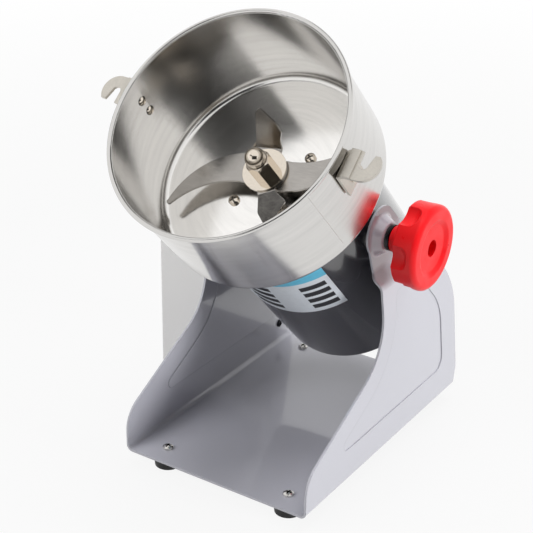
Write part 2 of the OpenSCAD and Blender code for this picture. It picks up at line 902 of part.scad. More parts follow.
hook_foot_end = 8;
hook_step_up = 6;
fold_out = 0.4;
fold_in = 0.5;

// Bent bracket: riveted foot on the wall, riser, and the flat hook plate
module latch_hook() {
    foot_x = bowl_r + bowl_t + seat_gap;
    plate_z = rim_rise - hook_drop;
    foot_low = rim_rise - rivet_drops[1] - hook_foot_end;
    step_z = rim_rise - rivet_drops[0] + hook_step_up;
    difference() {
        union() {
            translate([0, 0, plate_z - hook_t]) linear_extrude(hook_t) hook_plate_2d();
            translate([0, hook_low_y + hook_base, 0]) rotate([90, 0, 0]) linear_extrude(hook_base) polygon([
                [foot_x, foot_low],
                [foot_x + hook_t, foot_low],
                [foot_x + hook_t, step_z - hook_t * fold_out],
                [hook_wall_x + hook_t, plate_z - hook_t],
                [hook_wall_x + hook_t, plate_z],
                [hook_wall_x, plate_z],
                [hook_wall_x, plate_z - hook_t * fold_in],
                [foot_x, step_z]
            ]);
            translate([hook_wall_x, hook_low_y, plate_z - eps]) cube([strip_w, hook_base, strip_h]);
        }
        at_rivets([0], foot_x - 1) cylinder(r = rivet_r + fit_gap, h = hook_t + 2);
        translate([0, 0, foot_low - 1]) cylinder(r = bowl_r + bowl_t + seat_gap / 2, h = plate_z - foot_low);
    }
}

module latch_hook_right() {
    color(steel) on_head() rotate(hook_turns[0]) latch_hook();
}

module latch_hook_left() {
    color(steel) on_head() rotate(hook_turns[1]) latch_hook();
}

// Domed rivet: the dome inside the bowl and a flat closing head outside the bracket
module hook_rivets() {
    grip = bowl_r + bowl_t + seat_gap + hook_t + fit_gap - rivet_seat;
    dome_r = (rivet_head_r * rivet_head_r + rivet_head_h * rivet_head_h) / (2 * rivet_head_h);
    color(steel) on_head() at_rivets(hook_turns, rivet_seat) rotate_extrude() union() {
        intersection() {
            translate([0, dome_r - rivet_head_h]) circle(r = dome_r);
            translate([0, -2 * rivet_head_h]) square([2 * rivet_head_r, 2 * rivet_head_h]);
        }
        translate([0, -eps]) square([rivet_r, grip + 2 * eps]);
        translate([0, grip]) square([rivet_r + rivet_tail, rivet_tail]);
    }
}

module bowl_screws() {
    color(steel) on_head() translate([0, 0, floor_z]) at_floor_screws()
        pan_screw(m5_r, m5_head_r, m5_head_h, bowl_t + bracket_t - 2 * bracket_floor);
}

module shaft_seal() {
    color(black) on_head() translate([0, 0, base_z - seal_h]) difference() {
        cylinder(r = seal_r, h = seal_h);
        translate([0, 0, -1]) cylinder(r = shaft_r + run_gap, h = seal_h + 2);
        translate([0, 0, -1]) tube(seal_r - seal_wall, shaft_r + seal_bore, seal_h - seal_lip);
    }
}

// Motor pieces

pivot_hole_r = stud_r + fit_gap;

// Drawn can with a round lower edge and a recessed flange for the cover
module motor_housing() {
    seat = -motor_drop + cover_recess;
    section = rounded([
        [motor_r, base_z, 0],
        [can_in, base_z, 0],
        [can_in, seat + motor_t, can_edge - motor_t],
        [motor_r - can_flange, seat + motor_t, 0],
        [motor_r - can_flange, seat, 0],
        [motor_r - can_lip, seat, 0],
        [motor_r - can_lip, -motor_drop, 0],
        [motor_r, -motor_drop, can_edge]
    ]);
    color(charcoal) on_head() difference() {
        rotate_extrude($fn = 128) polygon(section);
        translate([-2 * motor_r, 0, 0]) rotate([0, 90, 0]) cylinder(r = pivot_hole_r, h = 4 * motor_r);
        at_cover_screws() translate([0, 0, -can_edge]) cylinder(r = m4_r + fit_gap, h = 2 * can_edge);
    }
}

module at_motor_bolts() {
    for (i = [0 : 3])
        rotate(45 + 90 * i) translate([bolt_pcr, 0, 0]) children();
}

bolt_boss_len = 14;
bolt_boss_wall = 3;
bolt_grip = 5;
bolt_head_h = 4;

module upper_bracket() {
    under = base_z - bracket_t;
    color(alloy) on_head() difference() {
        union() {
            translate([0, 0, under]) cylinder(r = bracket_r, h = bracket_t);
            translate([0, 0, upper_bearing_top - bearing_w - bearing_stop])
                cylinder(r = boss_r, h = base_z - upper_bearing_top + bearing_w);
            translate([0, 0, stator_top - skirt_grip])
                tube(stator_r + skirt_t, stator_r - skirt_lap, under - stator_top + skirt_grip + eps);
            at_motor_bolts() translate([0, 0, under - bolt_boss_len])
                cylinder(r = m5_r + bolt_boss_wall, h = bolt_boss_len + 1);
        }
        translate([0, 0, stator_top - skirt_grip - 1]) cylinder(r = stator_r + run_gap, h = skirt_grip + 1);
        translate([0, 0, upper_bearing_top - 2 * bearing_w]) cylinder(r = bearing_r + run_gap, h = 2 * bearing_w);
        translate([0, 0, stator_top]) cylinder(r = shaft_r + shaft_pass, h = stator_drop + 1);
        translate([0, 0, base_z - seal_h]) cylinder(r = seal_r + run_gap, h = seal_h + 1);
        translate([0, 0, under + bracket_floor]) at_floor_screws() cylinder(r = m5_r + fit_gap, h = bracket_t);
        translate([0, 0, under - bolt_boss_len - 1]) at_motor_bolts()
            cylinder(r = m5_r + fit_gap, h = bolt_boss_len + bolt_grip + 2);
    }
}

bracket_vents = 6;
bracket_vent_w = 12;
bracket_vent_len = 24;
bracket_web = 4;
skirt_windows = 4;
skirt_window = 28;
skirt_sill = 8;

module lower_bracket() {
    under = plate_top - plate_t;
    color(alloy) on_head() difference() {
        union() {
            translate([0, 0, under]) cylinder(r = bracket_r, h = plate_t);
            translate([0, 0, lower_bearing_top - bearing_w - 1]) cylinder(r = boss_r, h = bearing_w + 2);
            translate([0, 0, plate_top - eps])
                tube(stator_r + skirt_t, stator_r - skirt_lap, stator_low + skirt_grip - plate_top + eps);
        }
        translate([0, 0, stator_low]) cylinder(r = stator_r + run_gap, h = skirt_grip + 1);
        translate([0, 0, lower_bearing_top - 2 * bearing_w]) cylinder(r = bearing_r + run_gap, h = 2 * bearing_w);
        translate([0, 0, under - 1]) cylinder(r = shaft_r + shaft_pass, h = plate_t + 2);
        translate([0, 0, under - 1]) at_motor_bolts() cylinder(r = m5_r + fit_gap, h = plate_t + 2);
        for (i = [0 : bracket_vents - 1])
            rotate(360 / bracket_vents * (i + 0.5))
                translate([boss_r + bracket_web, -bracket_vent_w / 2, under - 1])
                    cube([bracket_vent_len, bracket_vent_w, plate_t + 2]);
        for (i = [0 : skirt_windows - 1])
            rotate(360 / skirt_windows * (i + 0.5))
                translate([stator_r - 2 * skirt_t, -skirt_window / 2, plate_top + skirt_sill])
                    cube([4 * skirt_t, skirt_window, skirt_window]);
    }
}

module motor_bolts() {
    head_z = plate_top - plate_t;
    color(steel) on_head() at_motor_bolts() {
        translate([0, 0, head_z - bolt_head_h]) cylinder(r = m5_nut_af / 2 / cos(30), h = bolt_head_h, $fn = 6);
        translate([0, 0, head_z - eps]) cylinder(r = m5_r, h = base_z - bracket_t + bolt_grip - head_z);
    }
}

air_gap = 0.7;
stator_bore = armature_r + air_gap;
yoke_t = 11;
yoke_in = stator_r - yoke_t;
shoe_t = 4;
shoe_half = 52;
neck_half = 28;

module ring_sector(r_in, r_out, half) {
    intersection() {
        difference() {
            circle(r = r_out);
            circle(r = r_in);
        }
        polygon([
            [0, 0],
            for (i = [-4 : 4]) 2 * r_out * [cos(half * i / 4), sin(half * i / 4)]
        ]);
    }
}

// Two-pole stack: a ring yoke with a neck and a pole shoe on each side
module stator_core() {
    color(iron) on_head() translate([0, 0, stator_low]) linear_extrude(stator_len) union() {
        difference() {
            circle(r = stator_r);
            circle(r = yoke_in);
        }
        for (side = [90, 270]) rotate(side) {
            ring_sector(stator_bore, stator_bore + shoe_t, shoe_half);
            ring_sector(stator_bore + shoe_t - 1, yoke_in + 1, neck_half);
        }
    }
}

coil_over = 12;
coil_inset = 2;
coil_window = 1;

// One coil round each neck: a curved block with a window for the neck
module field_windings() {
    leg_in = stator_bore + shoe_t + seat_gap;
    leg_out = yoke_in - seat_gap;
    color(copper) on_head() for (side = [90, 270]) rotate(side) difference() {
        translate([0, 0, stator_low - coil_over]) linear_extrude(stator_len + 2 * coil_over)
            ring_sector(leg_in, leg_out, shoe_half - coil_inset);
        translate([0, 0, stator_low - seat_gap]) linear_extrude(stator_len + 2 * seat_gap)
            ring_sector(leg_in - 1, leg_out + 1, neck_half + coil_window);
    }
}

// Shielded ball bearing drawn as its rings and shield
module bearing() {
    groove = 0.8;
    ring_t = 2.4;
    difference() {
        tube(bearing_r, shaft_r + run_gap, bearing_w);
        for (z = [-eps, bearing_w - groove + eps])
            translate([0, 0, z]) tube(bearing_r - ring_t, shaft_r + ring_t, groove);
    }
}

module upper_bearing() {
    color(steel) on_head() translate([0, 0, upper_bearing_top - bearing_w]) bearing();
}

module lower_bearing() {
    color(steel) on_head() translate([0, 0, lower_bearing_top - bearing_w]) bearing();
}

brush_w = 7;
brush_h = 12;
brush_len = 22;
holder_wall = 2;
holder_gap = 4;
holder_in = commutator_r + holder_gap;
holder_len = 27;
holder_out = holder_in + holder_len;
holder_foot_set = 4;

// Copies for the two brushes, on the +X and -X sides of the commutator
module at_brushes() {
    for (side = [0, 180])
        rotate(side) children();
}

// Brass channel on an insulating block that stands on the lower bracket
module brush_holders() {
    wide = brush_w + 2 * holder_wall;
    high = brush_h + 2 * holder_wall;
    color(brass) on_head() at_brushes() difference() {
        union() {
            translate([holder_in, -wide / 2, brush_z - high / 2]) cube([holder_len, wide, high]);
            translate([holder_in + holder_foot_set, -wide / 2, plate_top])
                cube([holder_len - 2 * holder_foot_set, wide, brush_z - plate_top]);
        }
        translate([holder_in - 1, -brush_w / 2 - fit_gap, brush_z - brush_h / 2 - fit_gap])
            cube([holder_len + 1 - holder_wall, brush_w + 2 * fit_gap, brush_h + 2 * fit_gap]);
    }
}

module carbon_brushes() {
    color(charcoal) on_head() at_brushes() difference() {
        translate([commutator_r - 2, -brush_w / 2, brush_z - brush_h / 2]) cube([brush_len + 2, brush_w, brush_h]);
        translate([0, 0, brush_z - brush_h]) cylinder(r = commutator_r + seat_gap, h = 2 * brush_h);
    }
}

spring_gap = 0.2;
spring_bore = 0.55;
spring_r = (holder_out - holder_wall - commutator_r - brush_len) / 2 - spring_gap;

// Rolled strip spring behind each brush
module brush_springs() {
    color(steel) on_head() at_brushes()
        translate([commutator_r + brush_len + spring_gap + spring_r, brush_w / 2 - seat_gap, brush_z])
            rotate([90, 0, 0]) tube(spring_r, spring_r * spring_bore, brush_w - 2 * seat_gap);
}

cover_screw_count = 3;

// Copies at the cover screws, on the cover's lower face with Z pointing away from the motor
module at_cover_screws() {
    for (i = [0 : cover_screw_count - 1])
        rotate(90 + 360 / cover_screw_count * i) translate([cover_screw_pcr, 0, cover_low])
            rotate([180, 0, 0]) children();
}

vent_count = 12;
vent_w = 4;
vent_len = 14;
vent_rows = [24, 43];
lead_hole_r = 6;
lead_pcr = 30;
lead_wall = 2.5;
lead_lip = 2;

// Round plate in the housing's lower end, with two rings of vent slots and the lead's hole
module bottom_cover() {
    color(charcoal) on_head() difference() {
        translate([0, 0, cover_low]) cylinder(r = motor_r - can_lip - seat_gap, h = cover_t);
        for (i = [0 : vent_count - 1], row = [0, 1])
            if (row == 1 || abs(i - 0.75 * vent_count) > 1)
                rotate(360 / vent_count * (i + row / 2)) translate([vent_rows[row], -vent_w / 2, cover_low - 1])
                    cube([vent_len, vent_w, cover_t + 2]);
        rotate(-90) translate([lead_pcr, 0, cover_low - 1]) cylinder(r = lead_hole_r, h = cover_t + 2);
        at_cover_screws() translate([0, 0, -can_edge]) cylinder(r = m4_r + fit_gap, h = 2 * can_edge);
    }
}

module cover_screws() {
    color(black) on_head() at_cover_screws()
        pan_screw(m4_r, m4_head_r, m4_head_h, cover_t + motor_t + 2 * screw_end);
}

// Grooved rubber ring in the cover, for the motor's lead
module motor_grommet() {
    color(black) on_head() rotate(-90) translate([lead_pcr, 0, cover_low]) difference() {
        union() {
            translate([0, 0, -lead_lip]) cylinder(r = lead_hole_r + lead_lip, h = lead_lip);
            translate([0, 0, -eps]) cylinder(r = lead_hole_r - run_gap, h = cover_t + 2 * eps);
            translate([0, 0, cover_t]) cylinder(r = lead_hole_r + lead_lip, h = lead_lip);
        }
        translate([0, 0, -lead_lip - 1]) cylinder(r = lead_hole_r - lead_wall, h = cover_t + 2 * lead_lip + 2);
    }
}

// Saddle boss between the housing and an ear, with a nose inside the ear's pressed boss
module pivot_boss() {
    saddle = motor_r - boss_saddle;
    shoulder = ear_in - seat_gap;
    difference() {
        rotate([0, 90, 0]) {
            translate([0, 0, saddle]) cylinder(r = pivot_boss_r, h = shoulder - saddle);
            translate([0, 0, shoulder - eps]) cylinder(r = boss_nose_r, h = boss_gap_face - shoulder + eps);
        }
        translate([0, 0, -2 * pivot_boss_r]) cylinder(r = motor_r + fit_gap, h = 4 * pivot_boss_r);
        rotate([0, 90, 0]) cylinder(r = pivot_hole_r, h = stand_w);
    }
}

module pivot_boss_right() {
    color(charcoal) on_head() pivot_boss();
}

module pivot_boss_left() {
    color(charcoal) on_head() mirror([1, 0, 0]) pivot_boss();
}

stud_head_w = 4;
stud_head_r = stud_r + stud_head_w;
stud_head_t = 4;
inner_seat = sqrt(can_in * can_in - stud_head_r * stud_head_r) - fit_gap;
bolt_end = 2;
pivot_nut_h = 6;
pivot_nut_wall = 3.5;

// Stud with its head inside the housing, running out through the right ear into the knob
module clamp_stud() {
    color(steel) on_head() rotate([0, 90, 0]) {
        translate([0, 0, inner_seat - stud_head_t]) cylinder(r = stud_head_r, h = stud_head_t);
        translate([0, 0, inner_seat - eps]) cylinder(r = stud_r, h = stud_tip - inner_seat);
    }
}

module pivot_bolt_left() {
    color(steel) on_head() rotate([0, -90, 0]) {
        translate([0, 0, inner_seat - stud_head_t]) cylinder(r = stud_head_r, h = stud_head_t);
        translate([0, 0, inner_seat - eps])
            cylinder(r = stud_r, h = washer_in + pivot_nut_h + bolt_end - inner_seat);
    }
}

module pivot_nut_left() {
    color(steel) on_head() rotate([0, -90, 0]) translate([0, 0, washer_in])
        hex_nut(2 * stud_r + 2 * pivot_nut_wall, stud_r + run_gap, pivot_nut_h);
}

// Rotor pieces

module motor_shaft() {
    color(steel) on_head() {
        translate([0, 0, shaft_low]) cylinder(r = shaft_r, h = shoulder_z - shaft_low);
        translate([0, 0, shoulder_z - eps])
            cylinder(r = thread_r, h = nut_z + nut_hex_h + thread_end - shoulder_z);
    }
}

slot_count = 12;
slot_w = 5;
slot_mouth = 2;
slot_deep = 12;
slot_body = 10;
slot_floor = armature_r - slot_deep;

module armature_core() {
    color(iron) on_head() translate([0, 0, stator_low]) linear_extrude(stator_len) difference() {
        circle(r = armature_r);
        circle(r = shaft_r + run_gap);
        for (i = [0 : slot_count - 1])
            rotate(360 / slot_count * i) {
                translate([slot_floor, -slot_w / 2]) square([slot_body, slot_w]);
                translate([slot_floor + slot_body - 1, -slot_mouth / 2]) square([slot_deep, slot_mouth]);
            }
    }
}

coil_end = 16;
coil_core = 4;
coil_bore = shaft_r + coil_core;
coil_set = 2;
coil_edge = 4;

// Coil bundles in the slots with a round-edged end turn at each end of the core
module armature_windings() {
    turn_h = coil_end - seat_gap;
    bundle = [slot_body - 2 * seat_gap, slot_w - 2 * seat_gap];
    color(copper) on_head() difference() {
        union() {
            translate([0, 0, stator_low - coil_end]) linear_extrude(stator_len + 2 * coil_end)
                for (i = [0 : slot_count - 1])
                    rotate(360 / slot_count * i) translate([slot_floor + seat_gap, -bundle[1] / 2]) square(bundle);
            for (low = [stator_low - coil_end, stator_top + seat_gap])
                translate([0, 0, low]) rotate_extrude() polygon(rounded([
                    [coil_bore, 0, 0],
                    [armature_r - coil_set, 0, coil_edge],
                    [armature_r - coil_set, turn_h, coil_edge],
                    [coil_bore, turn_h, 0]
                ]));
        }
        translate([0, 0, stator_low - 2 * coil_end])
            cylinder(r = coil_bore - fit_gap, h = stator_len + 4 * coil_end);
    }
}

bar_count = 24;
bar_gap = 0.8;
bar_deep = 1.5;
commutator_lip = 3;

module commutator() {
    color(copper) on_head() translate([0, 0, commutator_top - commutator_len]) difference() {
        union() {
            cylinder(r = commutator_r, h = commutator_len);
            translate([0, 0, commutator_len - commutator_lip])
                cylinder(r = commutator_r + commutator_lip, h = commutator_lip);
        }
        translate([0, 0, -1]) cylinder(r = shaft_r + run_gap, h = commutator_len + 2);
        for (i = [0 : bar_count - 1])
            rotate(360 / bar_count * i) translate([commutator_r - bar_deep, -bar_gap / 2, -1])
                cube([bar_deep + 2 * commutator_lip, bar_gap, commutator_len + 2]);
    }
}

fan_blades = 10;
fan_blade_t = 2;
fan_plate_t = 2;
fan_hub_w = 6;
fan_hub_r = shaft_r + fan_hub_w;
fan_eye_w = 12;
fan_eye_r = shaft_r + fan_eye_w;
fan_sweep_r = 0.6 * fan_r;
fan_sweep_c = fan_r * [0.55, 0.45];

// Radial fan: a back plate with swept blades on its lower side
module cooling_fan() {
    color(charcoal) on_head() translate([0, 0, fan_top - fan_h]) difference() {
        union() {
            cylinder(r = fan_hub_r, h = fan_h);
            translate([0, 0, fan_h - fan_plate_t]) cylinder(r = fan_r, h = fan_plate_t);
            for (i = [0 : fan_blades - 1])
                rotate(360 / fan_blades * i) linear_extrude(fan_h - eps) intersection() {
                    translate(fan_sweep_c) difference() {
                        circle(r = fan_sweep_r);
                        circle(r = fan_sweep_r - fan_blade_t);
                    }
                    difference() {
                        circle(r = fan_r);
                        circle(r = fan_eye_r);
                    }
                    translate([0, -fan_r]) square([fan_r, fan_r]);
                }
        }
        translate([0, 0, -1]) cylinder(r = shaft_r + run_gap, h = fan_h + 2);
    }
}

collar_wall = 5;

module blade_collar() {
    color(steel) on_head() translate([0, 0, shoulder_z])
        tube(thread_r + collar_wall, thread_r + run_gap, blade_z - shoulder_z);
}

blade_turn = 190;
hub_half = 13.5;

// Points in the opposite order
function backward(points) = [for (i = [len(points) - 1 : -1 : 0]) points[i]];

// Points on the circle through three points, from the first to the last
function three_point_arc(a, b, c) =
    let (
        ab = b - a,
        ac = c - a,
        cross_2 = 2 * (ab[0] * ac[1] - ab[1] * ac[0]),
        centre = a + [
            ac[1] * (ab * ab) - ab[1] * (ac * ac),
            ab[0] * (ac * ac) - ac[0] * (ab * ab)
        ] / cross_2,
        r = norm(a - centre),
        from = atan2(a[1] - centre[1], a[0] - centre[0]),
        to = atan2(c[1] - centre[1], c[0] - centre[0])
    )
    arc_points(centre, r, from, short_turn(from, to));

tip_half = 2.2;
tip_sweep = 22.5;
tip_turn = 16;
hub_flare = 1.5;
back_mid = [0.66, -0.03];
hollow_mid = [0.645, 0.2];

// One sickle arm along +X: a convex back and a hollow edge, both arcs, meeting in a narrow tip
module sickle_2d() {
    tip = blade_reach * [cos(tip_sweep), sin(tip_sweep)];
    across = [sin(tip_sweep + tip_turn), -cos(tip_sweep + tip_turn)] * tip_half;
    root = hub_half + hub_flare;
    back = three_point_arc([0, -root], blade_reach * back_mid, tip + across);
    hollow = three_point_arc(tip - across, blade_reach * hollow_mid, [0, root]);
    union() {
        polygon(concat(back, hollow));
        translate(tip) circle(r = tip_half);
    }
}

module main_blade() {
    color(steel) on_head() translate([0, 0, blade_z]) rotate(blade_turn) difference() {
        linear_extrude(blade_t) union() {
            sickle_2d();
            rotate(180) sickle_2d();
        }
        translate([0, 0, -1]) cylinder(r = thread_r + run_gap, h = blade_t + 2);
    }
}

cross_turn = blade_turn - 90;
cross_skew = 22;
cross_root = 20.3;
cross_half = 14.5;
cross_hub_r = 19;
blade_bend = 1;
trim_start = 1.5;
trim_lap = 0.4;
trim_spare = 2;

// Widths of the flat roots, and outlines of the leaves from the bend outward
up_root = [-9.5, 13.4];
up_leaf = [
    [0, -9.3, 0],
    [9, -10.4, 6],
    [16, -13.4, 2],
    [cross_arm - 15, -10.5, 6],
    [cross_arm, 0.3, 0.8],
    [cross_arm - 4, 4.7, 4],
    [0, 13.8, 0]
];
low_root = [-8.8, 7];
low_leaf = [
    [0, 6, 0],
    [cross_low_arm - 20, 13.8, 2],
    [cross_low_arm, -7.2, 1.5],
    [14.5, -12.1, 6],
    [0, -8.4, 0]
];

// Side view of an arm along +X that bends up by turn and runs on straight
function arm_profile(turn, run) =
    let (
        centre = [cross_root, blade_t + blade_bend],
        inner = arc_points(centre, blade_bend, -90, turn),
        outer = arc_points(centre, blade_bend + blade_t, -90, turn),
        straight = run * [cos(turn), sin(turn)]
    )
    concat(
        [[0, 0]],
        outer,
        [outer[len(outer) - 1] + straight, inner[len(inner) - 1] + straight],
        backward(inner),
        [[0, blade_t]]
    );

// One arm of the cross blade, its flat root cut to a width and its bent leaf cut to an outline
module bent_arm(turn, run, leaf, root) {
    lap = trim_start + trim_lap;
    root_x = cross_root + (blade_bend + blade_t) * sin(turn) + lap * cos(turn);
    root_z = blade_t + blade_bend * (1 - cos(turn)) + lap * sin(turn);
    difference() {
        translate([0, cross_half, 0]) rotate([90, 0, 0]) linear_extrude(2 * cross_half)
            polygon(arm_profile(turn, run + trim_spare));
        translate([cross_root, 0, blade_t + blade_bend]) rotate([0, -turn, 0])
            translate([0, 0, -2 * blade_t - blade_bend]) linear_extrude(3 * blade_t) difference() {
                translate([trim_start, -2 * cross_half]) square([2 * run, 4 * cross_half]);
                polygon(rounded(leaf));
            }
        translate([-1, root[1], -1]) cube([root_x + 1, cross_half, root_z + 1]);
        translate([-1, root[0] - cross_half, -1]) cube([root_x + 1, cross_half, root_z + 1]);
    }
}

module cross_blade() {
    color(steel) on_head() translate([0, 0, cross_z]) rotate(cross_turn) difference() {
        union() {
            cylinder(r = cross_hub_r, h = blade_t);
            bent_arm(cross_up, cross_arm, up_leaf, up_root);
            rotate(180 + cross_skew) translate([0, 0, blade_t]) mirror([0, 0, 1])
                bent_arm(cross_down, cross_low_arm, low_leaf, low_root);
        }
        translate([0, 0, -1]) cylinder(r = thread_r + run_gap, h = blade_t + 2);
    }
}

module blade_washer() {
    color(steel) on_head() translate([0, 0, washer_z]) tube(washer_r, thread_r + run_gap, washer_t);
}

module jam_nut() {
    color(steel) on_head() translate([0, 0, jam_z]) hex_nut(nut_af, thread_r + run_gap, jam_h);
}

// Domed cap nut with chamfered hexagon
module cap_nut() {
    corner_r = nut_af / 2 / cos(30);
    color(steel) on_head() translate([0, 0, nut_z]) difference() {
        union() {
            intersection() {
                cylinder(r = corner_r, h = nut_hex_h, $fn = 6);
                cylinder(r1 = corner_r + nut_hex_h - nut_crown, r2 = nut_af / 2, h = nut_hex_h);
            }
            cylinder(r = nut_dome_r, h = nut_h - nut_dome_r);
            translate([0, 0, nut_h - nut_dome_r]) sphere(r = nut_dome_r);
        }
        translate([0, 0, -1]) cylinder(r = thread_r + run_gap, h = nut_hex_h + nut_bore_end);
    }
}

// Clamp pieces

module clamp_washer() {
    color(steel) on_pivot() translate([0, 0, washer_in]) tube(clamp_washer_r, stud_r + seat_gap, clamp_washer_t);
}

hub_r = 11;
hub_root_r = 17;
hub_edge = 1;
hub_fillet = 3;
knob_edge = 5;
back_edge = 1.5;
face_rim = 7;
dish = 2.5;
dish_run = 4;
scoop_turn = 28;
scoop_end_r = 8;

// Moulded knob: a round-edged grip with finger scoops that stop short of the front, on a tapered hub
module clamp_knob() {
    half_w = scoop_w / 2;
    edge_r = sqrt(knob_r * knob_r - half_w * half_w);
    sag = edge_r - knob_r + scoop_depth;
    scoop_r = (half_w * half_w + sag * sag) / (2 * sag);
    rim_in = knob_r - knob_edge - face_rim;
    section = rounded([
        [0, knob_in, 0],
        [hub_r, knob_in, hub_edge],
        [hub_root_r, knob_back, hub_fillet],
        [knob_r, knob_back, back_edge],
        [knob_r, knob_face, knob_edge],
        [rim_in, knob_face, face_rim / 2],
        [rim_in - dish_run, knob_face - dish, face_rim / 2],
        [0, knob_face - dish, 0]
    ]);
    scoop = rounded([
        [0, 0, 0],
        [scoop_r, 0, 0],
        [scoop_r, scoop_len + 1, scoop_end_r],
        [0, scoop_len + 1, 0]
    ]);
    color(red) on_pivot() difference() {
        rotate_extrude($fn = 128) polygon(section);
        for (i = [0 : scoop_count - 1])
            rotate(scoop_turn + 360 / scoop_count * i)
                translate([knob_r - scoop_depth + scoop_r, 0, knob_back - 1]) rotate_extrude() polygon(scoop);
        translate([0, 0, knob_face - knob_hole_d]) cylinder(r = knob_hole_r, h = knob_hole_d + 1);
        translate([0, 0, knob_in - 1]) cylinder(r = insert_r + run_gap, h = insert_len + 1);
    }
}

module knob_insert() {
    color(brass) on_pivot() translate([0, 0, knob_in]) tube(insert_r, stud_r + run_gap, insert_len);
}

stand_frame();
rubber_feet();
foot_screws();
foot_nuts();
pivot_bush_right();
pivot_bush_left();
cable_grommet();
control_box();
box_screws();
box_nuts();
switch_housing();
switch_rocker();
overload_protector();
protector_nut();
reset_button();
cord_gland();
gland_nut();
terminal_block();
bowl();
latch_hook_right();
latch_hook_left();
hook_rivets();
bowl_screws();
shaft_seal();
motor_housing();
upper_bracket();
lower_bracket();
motor_bolts();
stator_core();
field_windings();
upper_bearing();
lower_bearing();
brush_holders();
carbon_brushes();
brush_springs();
bottom_cover();
cover_screws();
motor_grommet();
pivot_boss_right();
pivot_boss_left();
clamp_stud();
pivot_bolt_left();
pivot_nut_left();
motor_shaft();
armature_core();
armature_windings();
commutator();
cooling_fan();
blade_collar();
main_blade();
cross_blade();
blade_washer();
jam_nut();
cap_nut();
clamp_washer();
clamp_knob();
knob_insert();
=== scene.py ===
import json
import math

import bmesh
import bpy
from mathutils import Matrix, Vector


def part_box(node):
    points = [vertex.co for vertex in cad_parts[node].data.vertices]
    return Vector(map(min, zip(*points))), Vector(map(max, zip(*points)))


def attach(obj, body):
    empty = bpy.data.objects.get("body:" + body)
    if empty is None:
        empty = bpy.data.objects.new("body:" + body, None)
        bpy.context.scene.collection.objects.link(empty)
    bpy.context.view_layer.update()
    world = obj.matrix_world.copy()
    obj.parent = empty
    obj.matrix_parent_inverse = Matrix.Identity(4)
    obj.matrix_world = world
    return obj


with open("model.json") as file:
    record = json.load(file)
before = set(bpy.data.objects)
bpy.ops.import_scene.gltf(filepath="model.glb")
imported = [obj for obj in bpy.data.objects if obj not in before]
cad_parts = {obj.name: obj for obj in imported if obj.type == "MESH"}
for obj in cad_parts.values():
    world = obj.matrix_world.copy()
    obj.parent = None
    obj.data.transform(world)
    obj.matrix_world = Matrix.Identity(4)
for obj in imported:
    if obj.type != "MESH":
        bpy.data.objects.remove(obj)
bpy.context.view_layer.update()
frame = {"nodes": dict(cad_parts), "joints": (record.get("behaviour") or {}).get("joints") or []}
nodes = frame["nodes"]
joints = {joint["name"]: joint for joint in frame["joints"]}
scene = bpy.context.scene
scene.view_settings.view_transform = "Standard"

# One millimetre and one micrometre, in the scene's metres
MM = 0.001
UM = 0.000001


# Frame of the head: Z along the bowl's axis, zero at the tilt pivot


def axes_frame(x_axis, y_axis, z_axis, origin):
    """The matrix whose columns are three axes and an origin."""
    turn = Matrix((x_axis, y_axis, z_axis)).transposed()
    return Matrix.Translation(origin) @ turn.to_4x4()


PIVOT = Vector(joints["head_tilt"]["pos_m"])
AXIS = Vector(joints["rotor_spin"]["axis"]).normalized()
SIDE = Vector((1, 0, 0))
MOTOR_LOW, MOTOR_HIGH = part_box("motor_housing")
MOTOR_R = (MOTOR_HIGH.x - MOTOR_LOW.x) / 2
MOTOR_X = (MOTOR_LOW.x + MOTOR_HIGH.x) / 2
HEAD = axes_frame(SIDE, AXIS.cross(SIDE), AXIS, (MOTOR_X, PIVOT.y, PIVOT.z))

# Height of the bowl's rim in that frame, and the outer radius of its wall
RIM_Z = 0.1606
BOWL_OUT_R = 0.1012


# Building blocks of the materials

# Part of a noise's range that is stretched over the whole of a change
WIDE = (0.3, 0.7)
MEDIUM = (0.35, 0.65)
NARROW = (0.38, 0.62)

# Radius over which a finish softens the edges of its solid
PLAIN_EDGE = 0.6 * MM
PAINT_EDGE = 1.2 * MM
SHEET_EDGE = 0.4 * MM
FASTENER_EDGE = 0.2 * MM

# Painted shade in the slots of a fastener: its tone, how far it reaches, and the openness at which
# it starts and ends
RECESS_SHADE = (0.02, 0.018, 0.016, 1)
RECESS_SHADE_REACH = 4 * MM
RECESS_SHADE_OPENNESS = (0.45, 0.85)

# Numbers of the colour sockets of a Mix node
MIX_FACTOR, MIX_A, MIX_B, MIX_OUT = 0, 6, 7, 2

WHITE = (1, 1, 1, 1)


def srgb(red, green, blue):
    """A colour written in 0 to 255 screen values, as the shader's linear colour."""
    def linear(value):
        value /= 255
        return value / 12.92 if value <= 0.04045 else ((value + 0.055) / 1.055) ** 2.4
    return linear(red), linear(green), linear(blue), 1.0


def tinted(colour, factor):
    return tuple(min(1.0, c * factor) for c in colour[:3]) + (1.0,)


def add_node(tree, kind, inputs=None, **fields):
    """A new node with its fields set, and each named input set or linked."""
    node = tree.nodes.new(kind)
    for key, value in fields.items():
        setattr(node, key, value)
    for key, value in (inputs or {}).items():
        if isinstance(value, bpy.types.NodeSocket):
            tree.links.new(value, node.inputs[key])
        else:
            node.inputs[key].default_value = value
    return node


def math_node(tree, operation, a, b=0.0):
    return add_node(tree, "ShaderNodeMath", {0: a, 1: b}, operation=operation).outputs[0]


def span_node(tree, value, low, high, over):
    """A value that runs from low to high while another crosses a range."""
    return add_node(tree, "ShaderNodeMapRange", {
        0: value, 1: over[0], 2: over[1], 3: low, 4: high,
    }).outputs[0]


